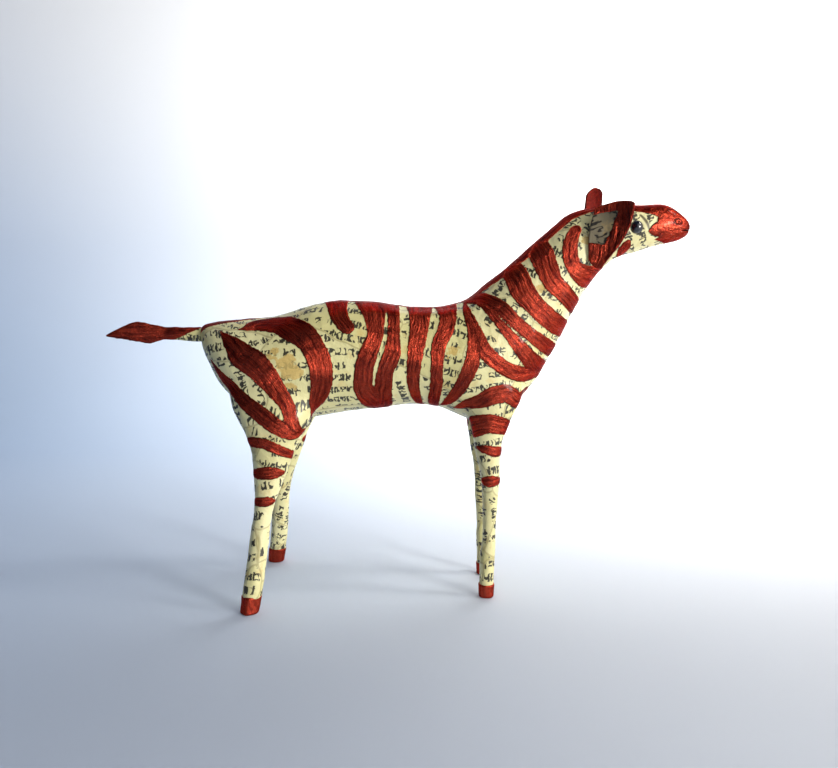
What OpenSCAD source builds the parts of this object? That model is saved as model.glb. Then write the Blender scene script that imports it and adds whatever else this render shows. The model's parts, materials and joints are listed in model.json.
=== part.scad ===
// Zebra figure: papered skin over a paper core on a bent wire frame.
// +X runs to the muzzle, +Y to the animal's left, +Z up.
// The origin is on the ground, under the middle of the bounding box.

/* [Overall size] */
// Length from tail tip to muzzle
figure_length = 174.5; // [160:0.5:190]
// Height from the soles to the tip of the left ear
figure_height = 122.5; // [112:0.5:134]
// Width of the barrel at its widest
barrel_width = 29.6; // [25:0.1:34]
// Distance between the centres of the rear soles
rear_track = 44; // [38:0.5:50]
// Distance between the centres of the front soles
front_track = 19; // [17:0.5:23]

/* [Shell and core] */
// Thickness of the papered skin
skin_t = 0.9; // [0.6:0.05:1.2]
// Gap between the skin and the core inside it
core_gap = 0.15; // [0.05:0.05:0.3]
// Gap between each leg and the trunk it is glued to
leg_gap = 0.12; // [0.05:0.01:0.2]

/* [Wire frame] */
// Diameter of the spine wire
spine_wire_d = 1.6; // [1.2:0.1:2]
// Diameter of each leg wire
leg_wire_d = 1.4; // [1:0.1:1.6]
// Gap around a leg wire in its leg, and inside the tape
wire_gap = 0.12; // [0.05:0.01:0.2]
// Room round the spine wire in the crumpled core
core_wire_gap = 0.5; // [0.4:0.05:0.8]
// Thickness of the tape bound round the wires
tape_t = 0.9; // [0.6:0.1:1.2]

/* [Legs and hooves] */
// Thickness of the legs against the usual ones
leg_stoutness = 1; // [0.9:0.05:1.2]
// Height of a rear hoof
rear_hoof_h = 5; // [4:0.1:6.5]
// Height of a front hoof
front_hoof_h = 4; // [3.5:0.1:5]
// How far a hoof stands out past the leg above it
hoof_lip = 0.1; // [0.05:0.05:0.4]

/* [Head] */
// Diameter of a bead eye
eye_d = 3.8; // [3:0.1:4.4]
// Gap round a bead in its socket
eye_gap = 0.08; // [0.04:0.01:0.15]
// Thickness of the folded paper of an ear
ear_t = 0.8; // [0.5:0.1:1]

/* [Tail] */
// Half thickness of the tail at its root
tail_root = 1.8; // [1.4:0.1:2]
// Gap between the tail and the rump
tail_gap = 0.12; // [0.05:0.01:0.2]

/* [Hidden] */

// Scales of the drawn figure against the sizes above
kx = figure_length / 174.5;
ky = barrel_width / 29.6;
kz = figure_height / 122.5;

// Trunk, neck and head: underside x z, topline x z, half width
trunk_rows = [
  [-57.8, 76.2, -57.8, 80.5, 2.1], [-57.3, 73.8, -57.3, 80.9, 3.6],
  [-56.2, 70.6, -56.2, 81.3, 5.6], [-54, 66.2, -54, 81.9, 8], [-50.5, 61, -50.5, 82.5, 10.4],
  [-45.5, 57, -45.5, 82.9, 12.6], [-39, 54.4, -39, 83.3, 14.1], [-32, 53.4, -32, 84.8, 14.8],
  [-24, 53.4, -24, 87.4, 14.8], [-15, 55, -15, 88.5, 14.2], [-6, 56, -6, 88.2, 13.7],
  [4, 57.3, 4, 87, 13.5], [13, 56.6, 13, 86.9, 13.8], [22, 52.8, 19, 88, 14.2],
  [30.5, 52.6, 22.5, 89.7, 14.1], [37.5, 58.6, 27, 93, 12.8], [42.3, 64.4, 32.4, 97.4, 11.2],
  [46.6, 72, 38.3, 102.5, 9.7], [51.2, 81, 44.5, 107.9, 8.6], [56, 90, 50.2, 113.1, 7.8],
  [61, 97.2, 55.2, 114.9, 7.2], [66, 101.2, 60.5, 115.7, 6.7], [70.5, 102.5, 66.5, 116.3, 6.5],
  [75.5, 104, 73, 116.4, 6], [80.5, 105.5, 79.5, 116.7, 5.2], [84, 106.4, 83.3, 114.6, 4.3],
  [86.2, 107.6, 85.8, 112.5, 3], [87.1, 109, 87, 110.9, 1.2]
];
// Rear leg, right side: height, x, y, half size along x, half size along y
rear_rows = [
  [5.4, -40.6, -20.9, 2.75, 2.7], [9.1, -39.9, -20.2, 2.8, 2.75], [14.6, -39.3, -19.1, 2.8, 2.75],
  [20.2, -38.7, -18, 2.75, 2.7], [25.8, -38, -16.8, 2.6, 2.6], [31.4, -37.1, -15.7, 3.05, 2.9],
  [37, -36.2, -14.6, 4.35, 3.6], [41.3, -35.5, -13.7, 5.35, 4], [45.5, -35, -12.9, 6.5, 4.5],
  [48.4, -34.8, -12.3, 7.6, 4.9], [51.3, -34.7, -11.7, 9.2, 5.4], [55.5, -35.2, -10.4, 11.6, 6],
  [60, -35.2, -8.8, 13.2, 6.6], [66, -34.6, -6.8, 13.4, 6.9], [70, -34, -6, 11.5, 5]
];
// Front leg, right side, in the same order
front_rows = [
  [4.1, 27.6, -9.4, 2.25, 2.2], [11.1, 27.8, -9.1, 2.2, 2.15], [17.2, 28.2, -8.8, 2, 2],
  [23.3, 28.4, -8.6, 1.95, 2], [29.4, 28.5, -8.3, 2.4, 2.4], [35.4, 28.6, -8.1, 2.85, 2.75],
  [38.4, 28.4, -8, 3, 2.9], [42.9, 28, -7.8, 3.7, 3.5], [47.4, 27.8, -7.6, 4.45, 3.9],
  [51.9, 28.2, -7.5, 5.6, 4.5], [56.4, 28.6, -7.4, 7.5, 5.2], [61, 29, -7.2, 9, 5.6],
  [67, 28, -6.5, 9.5, 5.4]
];
// How far forward the left front leg stands from the right one at each height
left_front_shift = [[0, 0.9], [12, 0.2], [25, -1.1], [40, -1], [52, -0.3], [60, 0]];
// Tail, in the order of the trunk, from inside the rump to the tip
tail_rows = [
  [-55, 77.5, -55, 79.3, 0.9], [-57.7, 77.5, -57.7, 79.3, 0.9], [-57.9, 76.2, -57.9, 80.6, 1],
  [-59.5, 76.1, -59.5, 80.6, 1], [-64, 76.4, -64, 80.6, 0.9], [-69.5, 76.7, -69.5, 80.7, 0.62],
  [-73.9, 75.4, -73.6, 81.6, 0.5], [-77, 76, -77.8, 82.3, 0.45], [-82, 76.8, -82.4, 80.6, 0.4],
  [-87.1, 77.5, -87.1, 78.2, 0.22]
];
// Hidden wire paths from the leg into the trunk, right side
rear_wire_in = [[-33.6, -8.6, 57], [-33.4, -5.4, 62.4], [-32.8, -3.2, 66.6]];
front_wire_in = [[27.6, -6.2, 57], [26.8, -4.5, 62.6], [25.2, -3.1, 67.4]];
// Fore and aft limits of the tape bindings
hip_binding_x = [-27, -20];
shoulder_binding_x = [11, 18];

trunk_n = 28;
core_n = 16;
leg_n = 16;
wire_n = 8;
steps = 2;
// Stations where the skin is divided: at the withers, behind the ears, at the muzzle
withers = 28;
poll = 40;
muzzle_in = 51;
core_first = 7;
core_last = 48;
// Share of a station left open where two pieces meet
seam = 0.04;

function lerp(a, b, t) = a + (b - a) * t;

// One value of a smooth curve through p1 and p2
function spline(p0, p1, p2, p3, t) =
  (p1 * 2 + (p2 - p0) * t + (p0 * 2 - p1 * 5 + p2 * 4 - p3) * t * t
    + (p1 * 3 - p0 - p2 * 3 + p3) * t * t * t) / 2;

// Rows joined by a smooth curve, with n steps between two rows
function refine(rows, n) = [
  for (i = [0 : len(rows) - 2], k = [0 : n - 1])
    spline(rows[max(i - 1, 0)], rows[i], rows[i + 1], rows[min(i + 2, len(rows) - 1)], k / n),
  rows[len(rows) - 1]
];

// Ring of n points round a trunk row
function trunk_ring(r, n) = [
  for (j = [0 : n - 1]) let (a = 360 * j / n, c = cos(a), s = sin(a)) [
    kx * ((r[0] + r[2]) / 2 + s * (r[2] - r[0]) / 2), ky * r[4] * c,
    kz * ((r[1] + r[3]) / 2 + s * (r[3] - r[1]) / 2)
  ]
];

// Middle of a trunk row, and the middle of the trunk at one x
function middle(r) = [kx * (r[0] + r[2]) / 2, 0, kz * (r[1] + r[3]) / 2];
function middle_at(x, i = 0) =
  trunk_mid[i + 1][0] >= kx * x || i + 2 >= len(trunk_mid)
  ? let (a = trunk_mid[i], b = trunk_mid[i + 1]) lerp(a, b, (kx * x - a[0]) / (b[0] - a[0]))
  : middle_at(x, i + 1);

// Oval ring of n points in the plane of a trunk row, round its middle
function oval_ring(r, n, wide, high) = let (u = [kx * (r[2] - r[0]), 0, kz * (r[3] - r[1])])
  [for (j = [0 : n - 1]) let (a = 360 * j / n)
    middle(r) + u / norm(u) * high * sin(a) + [0, wide * cos(a), 0]];

// Rings moved inwards by t along the surface normal
function inset_rings(g, t) = let (m = len(g), n = len(g[0])) [
  for (i = [0 : m - 1]) [for (j = [0 : n - 1]) let (
    along = g[min(i + 1, m - 1)][j] - g[max(i - 1, 0)][j],
    round = g[i][(j + 1) % n] - g[i][(j + n - 1) % n],
    q = cross(along, round)
  ) g[i][j] + q / norm(q) * t]
];

// Stations a to b of a stack, starting one seam past a where another piece ends
function part_of(g, a, b) = [a == 0 ? g[0] : lerp(g[a], g[a + 1], seam), for (i = [a + 1 : b]) g[i]];
function flat(g) = [for (r = g) each r];

// Faces round a stack of m rings of n points, starting at point k
function wall_faces(m, n, k = 0, out = true) = [
  for (i = [0 : m - 2], j = [0 : n - 1])
    let (a = k + i * n + j, b = k + i * n + (j + 1) % n, c = b + n, d = a + n)
      each out ? [[a, c, b], [a, d, c]] : [[a, b, c], [a, c, d]]
];
function ring_faces(a, b, n) = [
  for (j = [0 : n - 1]) let (q = (j + 1) % n)
    each [[a + j, a + q, b + q], [a + j, b + q, b + j]]
];
function cap_faces(k, n, c, up) =
  [for (j = [0 : n - 1]) let (q = (j + 1) % n) up ? [k + q, k + j, c] : [k + j, k + q, c]];
function mean(r) = [for (i = [0 : 2]) let (s = [for (p = r) p[i]]) (s * [for (v = s) 1]) / len(s)];

// Solid round a stack of rings
module loft(g) {
  m = len(g);
  n = len(g[0]);
  polyhedron(
    points = [each flat(g), mean(g[0]), mean(g[m - 1])],
    faces = [
      each wall_faces(m, n), each cap_faces(0, n, m * n, false),
      each cap_faces((m - 1) * n, n, m * n + 1, true)
    ]
  );
}

// Solid between two stacks of rings, open at both ends
module sleeve(g, h) {
  m = len(g);
  n = len(g[0]);
  polyhedron(
    points = [each flat(g), each flat(h)],
    faces = [
      each wall_faces(m, n), each wall_faces(m, n, m * n, false),
      each ring_faces(0, m * n, n), each ring_faces((2 * m - 1) * n, (m - 1) * n, n)
    ]
  );
}

// Solid between two stacks of rings, closed at the far end
module pouch(g, h) {
  m = len(g);
  p = len(h);
  n = len(g[0]);
  e = (m + p) * n;
  polyhedron(
    points = [each flat(g), each flat(h), mean(g[m - 1]), mean(h[p - 1])],
    faces = [
      each wall_faces(m, n), each wall_faces(p, n, m * n, false), each ring_faces(0, m * n, n),
      each cap_faces((m - 1) * n, n, e, true), each cap_faces((m + p - 1) * n, n, e + 1, false)
    ]
  );
}

// Rings of radius r along a path
function path_rings(p, r, n) = let (m = len(p)) [
  for (i = [0 : m - 1]) let (
    d = p[min(i + 1, m - 1)] - p[max(i - 1, 0)],
    t = d / norm(d),
    side = cross(t, abs(t[1]) < 0.9 ? [0, 1, 0] : [1, 0, 0]),
    u = side / norm(side),
    v = cross(t, u)
  ) [for (j = [0 : n - 1]) let (a = 360 * j / n) p[i] + u * r * cos(a) + v * r * sin(a)]
];

trunk = refine(trunk_rows, steps);
trunk_mid = [for (r = trunk) middle(r)];
skin_out = [for (r = trunk) trunk_ring(r, trunk_n)];
skin_in = inset_rings(skin_out, skin_t);
core_shape = [for (r = trunk) trunk_ring(r, core_n)];
core_out = inset_rings(core_shape, skin_t + core_gap);
spine_r = spine_wire_d / 2;
leg_wire_r = leg_wire_d / 2;
wire_side = spine_r + leg_wire_r + 2 * wire_gap;
tape_wide = wire_side + leg_wire_r + 2 * wire_gap;
tape_high = 1.3 * max(spine_r, leg_wire_r) + wire_gap;
// The core's bore opens out round the bindings
function bore_size(r) = let (x = (r[0] + r[2]) / 2)
  near(x, hip_binding_x) || near(x, shoulder_binding_x)
  ? [tape_wide + tape_t + core_wire_gap, tape_high + tape_t + core_wire_gap]
  : [spine_r + core_wire_gap, spine_r + core_wire_gap];
function near(x, span) = x > span[0] - 6.2 && x < span[1] + 6.2;
core_bore = [for (r = trunk) let (b = bore_size(r)) oval_ring(r, core_n, b[0], b[1])];

// Legs: the sideways position follows the track, the foot most and the hip not at all
function leg_y(r, track, base) = let (low = 1 - min(r[0], 58) / 58)
  r[2] * lerp(ky, track / base, low);
function leg_ring(r, track, base) = [
  for (j = [0 : leg_n - 1]) let (a = 360 * j / leg_n) [
    kx * r[1] + leg_stoutness * r[3] * cos(a),
    leg_y(r, track, base) + leg_stoutness * r[4] * sin(a), kz * r[0]
  ]
];
function leg_mid(r, track, base) = [kx * r[1], leg_y(r, track, base), kz * r[0]];

rear = refine(rear_rows, steps);
front = refine(front_rows, steps);
front_left = [for (r = front) [r[0], r[1] + lookup(r[0], left_front_shift), r[2], r[3], r[4]]];

// The first row of a leg sits on its hoof, however tall that is
function on_hoof(rows, h) = [
  let (r = rows[0]) [h / kz + 0.1, r[1], r[2], r[3], r[4]],
  for (r = rows) if (r[0] * kz > h + 1) r
];
rear_leg_rows = on_hoof(rear, rear_hoof_h);
front_leg_rows = on_hoof(front, front_hoof_h);
front_left_rows = on_hoof(front_left, front_hoof_h);

// Wire from inside the hoof, up the leg and along the spine
function leg_wire_path(rows, track, base, inside, span) = refine([
  let (m = leg_mid(rows[0], track, base)) [m[0] - 0.2, m[1] - 0.3, 2.1],
  for (i = [0 : 3 : len(rows) - 1]) if (rows[i][0] < 53) leg_mid(rows[i], track, base),
  for (p = inside) [kx * p[0], ky * p[1], kz * p[2]],
  for (i = [0 : 3]) let (x = lerp(span[0], span[1], i / 3), m = middle_at(x)) m - [0, wire_side, 0]
], 2);
rear_span = [hip_binding_x[0] - 3, hip_binding_x[1] + 1];
front_span = [shoulder_binding_x[1] + 3, shoulder_binding_x[0] - 1];
rear_path = leg_wire_path(rear_leg_rows, rear_track, 44, rear_wire_in, rear_span);
front_path = leg_wire_path(front_leg_rows, front_track, 19, front_wire_in, front_span);
front_left_path = leg_wire_path(front_left_rows, front_track, 19, front_wire_in, front_span);

module mirrored(left) {
  if (left) mirror([0, 1, 0]) children();
  else children();
}

module spine_wire() {
  color("#8a8a88") loft(path_rings([for (i = [core_first : core_last]) trunk_mid[i]], spine_r, wire_n));
}

module leg_wire(path) {
  color("#8a8a88") loft(path_rings(path, leg_wire_r, wire_n));
}

module leg_wire_rear(left) {
  mirrored(left) leg_wire(rear_path);
}

module leg_wire_front(left) {
  mirrored(left) leg_wire(left ? front_left_path : front_path);
}

// Oval sleeve of tape round the spine wire and two leg wires
module binding(span) {
  rows = [for (i = [0 : 3]) let (m = middle_at(lerp(span[0], span[1], i / 3)))
    [m[0] / kx, m[2] / kz - 1, m[0] / kx, m[2] / kz + 1, 1]];
  color("#c9bd9a") sleeve(
    [for (r = rows) oval_ring(r, core_n, tape_wide + tape_t, tape_high + tape_t)],
    [for (r = rows) oval_ring(r, core_n, tape_wide, tape_high)]
  );
}

// Room for the leg wires where they cross the core and the skin, from just below the belly up
channel_low = 46 * kz;
module wire_channels() {
  for (left = [false, true], path = [rear_path, left ? front_left_path : front_path])
    mirrored(left)
      loft(path_rings([for (p = path) if (p[2] > channel_low) p], leg_wire_r + wire_gap, wire_n));
}

module core(a, b) {
  sleeve(part_of(core_out, a, b), part_of(core_bore, a, b));
}

module torso_core() {
  color("#b9b4a6") difference() {
    core(core_first, withers);
    wire_channels();
  }
}

module neck_core() {
  color("#b9b4a6") core(withers, poll);
}

module head_core() {
  color("#b9b4a6") core(poll, core_last);
}

module torso_skin() {
  color("#e6dcb4") difference() {
    sleeve(part_of(skin_out, 0, withers), part_of(skin_in, 0, withers));
    wire_channels();
  }
}

module neck_skin() {
  color("#e6dcb4") sleeve(part_of(skin_out, withers, poll), part_of(skin_in, withers, poll));
}

module eye_place(left) {
  mirrored(left) translate([kx * 70.2, -ky * 5.75, kz * 109.7]) rotate([90, 0, 0]) children();
}

module head_skin() {
  last = len(trunk) - 1;
  color("#e6dcb4") difference() {
    pouch(part_of(skin_out, poll, last), part_of(skin_in, poll, muzzle_in));
    for (left = [false, true]) eye_place(left) cylinder(r = eye_d / 2 + eye_gap, h = 6, $fn = 64);
  }
}

// Leg cut to the trunk between two of its stations
module leg(rows, track, base, path, a, b) {
  rings = [for (r = rows) leg_ring(r, track, base)];
  color("#e6dcb4") difference() {
    loft(rings);
    loft(part_of(inset_rings(skin_out, -leg_gap), a, b));
    loft(path_rings(path, leg_wire_r + wire_gap, wire_n));
  }
}

module leg_rear(left) {
  mirrored(left) leg(rear_leg_rows, rear_track, 44, rear_path, 6, 20);
}

module leg_front(left) {
  if (left) mirrored(true) leg(front_left_rows, front_track, 19, front_left_path, 23, 33);
  else leg(front_leg_rows, front_track, 19, front_path, 23, 33);
}

// Hoof: height, x and y of its top, half size, how square it is, its turn, lean of the sole
module hoof(h, top, half, power, turn, lean) {
  function corner(c) = sign(c) * pow(abs(c), 2 / power);
  rows = [[0, 0.86], [0.4, 0.96], [h * 0.6, 0.99], [h - 0.3, 1.03], [h, 0.98]];
  rings = [for (r = rows) [for (j = [0 : 23]) let (
    a = 360 * j / 24 + 8,
    w = half * r[1],
    u = w * corner(cos(a)),
    v = w * corner(sin(a))
  ) [
    top[0] + lean[0] * (1 - r[0] / h) + u * cos(turn) - v * sin(turn),
    top[1] + lean[1] * (1 - r[0] / h) + u * sin(turn) + v * cos(turn), r[0]
  ]]];
  color("#8e2a1c") difference() {
    loft(rings);
    translate([top[0] - 0.2, top[1] - 0.3, 1.7]) cylinder(r = leg_wire_r + wire_gap + 0.6, h = h, $fn = 32);
  }
}

module hoof_rear(left) {
  m = leg_mid(rear_leg_rows[0], rear_track, 44);
  half = leg_stoutness * (left ? 2.7 : 2.4) + hoof_lip;
  mirrored(left) hoof(rear_hoof_h, m, half, left ? 2.4 : 3.6, left ? 0 : 40, [-0.7, -1]);
}

module hoof_front(left) {
  m = leg_mid((left ? front_left_rows : front_leg_rows)[0], front_track, 19);
  mirrored(left) hoof(front_hoof_h, m, leg_stoutness * 2.25 + hoof_lip, 2.4, 0, [-0.1, -0.15]);
}

// Ear: a gutter of folded paper from its foot c up to a, d and b along the top edge,
// its back edge bowed by rim and its front edge by lip
module ear(a, d, b, c, c_half, rim, lip) {
  nu = 10;
  nv = 12;
  function top(t) = a * (1 - t) * (1 - t) + d * 2 * t * (1 - t) + b * t * t;
  function foot(t) = c + c_half * (2 * t - 1) - [0, 0, 0.7] * sin(180 * t);
  function mid(u, t) = lerp(foot(t), top(t), pow(u, 0.9)) + lerp(rim, lip, t) * sin(180 * u);
  grid = [for (i = [0 : nu]) [for (j = [0 : nv]) mid(i / nu, j / nv)]];
  function normal(i, j) = let (q = cross(
    grid[min(i + 1, nu)][j] - grid[max(i - 1, 0)][j],
    grid[i][min(j + 1, nv)] - grid[i][max(j - 1, 0)]
  )) q / norm(q) * ear_t / 2;
  rings = [for (i = [0 : nu]) [
    for (j = [0 : nv]) grid[i][j] - normal(i, j),
    for (j = [nv : -1 : 0]) grid[i][j] + normal(i, j)
  ]];
  color("#7c1f1c") loft(rings);
}

function at(p) = [kx * p[0], ky * p[1], kz * p[2]];

module ear_right() {
  ear(at([57.8, -7.3, 115.1]), at([66.6, -9, 118.2]), at([66.9, -15.4, 115.7]),
    at([57.8, -8.4, 98.9]), at([1.7, -0.8, -1.2]), [-1, -0.9, 0], [2.1, -0.3, 0]);
}

module ear_left() {
  ear(at([58.5, 7.5, 119.4]), at([61.6, 9.1, 124.8]), at([63.4, 13.4, 120.8]),
    at([60, 8.6, 103]), at([2.5, 1, 0.3]), [-0.3, 0.5, 0], [0.2, 0.3, 0]);
}

module tail() {
  rows = refine([for (r = tail_rows) let (d = r[0] < trunk_rows[0][0] ? tail_gap : 0)
    [r[0] - d, r[1], r[2] - d, r[3], r[4]]], steps);
  color("#8e2a1c") loft([for (i = [len(rows) - 1 : -1 : 0]) let (r = rows[i])
    trunk_ring([r[0], r[1], r[2], r[3], r[4] * (i > 2 ? tail_root / ky : 0.9)], 16)]);
}

// Bead pressed into its socket
module eye(left) {
  color("#0c0d12") eye_place(left) difference() {
    sphere(r = eye_d / 2, $fn = 64);
    translate([-eye_d, -eye_d, -2 * eye_d]) cube(2 * eye_d);
  }
}

spine_wire();
leg_wire_front(false);  // leg_wire_front_right
leg_wire_front(true);  // leg_wire_front_left
leg_wire_rear(false);  // leg_wire_rear_right
leg_wire_rear(true);  // leg_wire_rear_left
binding(shoulder_binding_x);  // shoulder_binding
binding(hip_binding_x);  // hip_binding
torso_core();
neck_core();
head_core();
torso_skin();
neck_skin();
head_skin();
leg_front(false);  // leg_front_right
leg_front(true);  // leg_front_left
leg_rear(false);  // leg_rear_right
leg_rear(true);  // leg_rear_left
hoof_front(false);  // hoof_front_right
hoof_front(true);  // hoof_front_left
hoof_rear(false);  // hoof_rear_right
hoof_rear(true);  // hoof_rear_left
ear_right();
ear_left();
tail();
eye(false);  // eye_right
eye(true);  // eye_left
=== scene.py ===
"""Papier-mache zebra figure: pasted book paper with metallic red strokes, under varnish."""
import json
import math

import bmesh
import bpy
import numpy as np
from mathutils import Matrix, Vector, noise
from mathutils.bvhtree import BVHTree


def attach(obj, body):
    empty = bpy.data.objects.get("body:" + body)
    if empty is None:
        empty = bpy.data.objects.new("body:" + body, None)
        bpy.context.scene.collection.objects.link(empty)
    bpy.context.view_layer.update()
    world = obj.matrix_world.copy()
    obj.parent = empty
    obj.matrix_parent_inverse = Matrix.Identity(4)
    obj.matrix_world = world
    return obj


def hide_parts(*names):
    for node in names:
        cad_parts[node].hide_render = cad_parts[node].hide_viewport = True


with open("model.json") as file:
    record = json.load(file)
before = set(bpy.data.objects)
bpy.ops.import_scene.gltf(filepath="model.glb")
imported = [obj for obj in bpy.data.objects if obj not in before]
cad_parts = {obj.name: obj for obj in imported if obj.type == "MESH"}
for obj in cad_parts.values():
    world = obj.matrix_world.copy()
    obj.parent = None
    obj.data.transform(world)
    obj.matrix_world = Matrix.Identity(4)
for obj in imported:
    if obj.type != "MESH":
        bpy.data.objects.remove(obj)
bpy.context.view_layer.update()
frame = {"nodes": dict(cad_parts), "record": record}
nodes = frame["nodes"]
MM = 0.001

# ---------------------------------------------------------------- camera

# It stands square to the right side, level with the withers, and looks a little down
CAMERA_PLACE = Vector((7.3, -240, 93.1))   # mm
CAMERA_DIP = 7.09                          # degrees

camera = bpy.data.objects.new("camera", bpy.data.cameras.new("camera"))
camera.data.lens = 34.2
camera.data.sensor_width = 36
camera.location = CAMERA_PLACE * MM
camera.rotation_euler = (math.radians(90 - CAMERA_DIP), 0, 0)
camera.data.clip_start = 0.01
bpy.context.scene.collection.objects.link(camera)
bpy.context.scene.camera = camera

# ---------------------------------------------------------------- materials


def linear(hex_colour):
    """An sRGB hex colour as linear RGBA."""
    values = [int(hex_colour[i:i + 2], 16) / 255 for i in (1, 3, 5)]
    return [v / 12.92 if v < 0.04045 else ((v + 0.055) / 1.055) ** 2.4 for v in values] + [1.0]


def put(tree, kind, inputs=(), out=0, **settings):
    """Adds a node, sets it, fills or links its inputs, and returns one output, or the node.

    Inputs come in order, or with their names or numbers, and None leaves one as it is. In a mix node
    the floats are 2 and 3, and the colours 6 and 7."""
    node = tree.nodes.new(kind)
    for name, value in settings.items():
        setattr(node, name, value)
    pairs = inputs.items() if isinstance(inputs, dict) else enumerate(inputs)
    for key, value in pairs:
        if isinstance(value, bpy.types.NodeSocket):
            tree.links.new(value, node.inputs[key])
        elif value is not None:
            node.inputs[key].default_value = value
    return node if out is None else node.outputs[out]


def new_material(name):
    material = bpy.data.materials.new(name)
    material.use_nodes = True
    material.node_tree.nodes.clear()
    return material, material.node_tree


def finish_material(tree, **inputs):
    """The shader and the output, with the named inputs set or linked."""
    named = {key.replace("_", " "): value for key, value in inputs.items()}
    shader = put(tree, "ShaderNodeBsdfPrincipled", named)
    put(tree, "ShaderNodeOutputMaterial", [shader], out=None)


# The two kinds of node used most
M = "ShaderNodeMath"
V = "ShaderNodeVectorMath"
# The print on the pasted paper, in mm
ROW = 4.1          # from one row to the next
SET = 1.85         # from one mark to the next in a row
STROKE = 0.25      # half the thickness of a mark's strokes
SOFT_INK = 0.05    # how far the ink fades, each side of its edge


def place_in_mm(tree):
    place = put(tree, "ShaderNodeTexCoord", out="Object")
    return put(tree, V, [place, None, None, 1 / MM], operation="SCALE")


def scraps(t, mm, size, seed):
    """Torn scraps of about the given size: random colour of each, and distance to its edge in mm."""
    wobble = put(t, "ShaderNodeTexNoise", [mm, None, 0.09, 2.0], out="Color")
    bent = put(t, V, [mm, put(t, V, [wobble, None, None, 5.0], operation="SCALE")], operation="ADD")
    place = put(t, V, [bent, (seed, seed * 0.7, seed * 1.3)], operation="ADD")
    cells = put(t, "ShaderNodeTexVoronoi", {"Vector": place, "Scale": 1 / size}, out="Color")
    edge = put(t, "ShaderNodeTexVoronoi", {"Vector": place, "Scale": 1 / size},
               feature="DISTANCE_TO_EDGE", out="Distance")
    return cells, put(t, M, [edge, size], operation="MULTIPLY")


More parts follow.
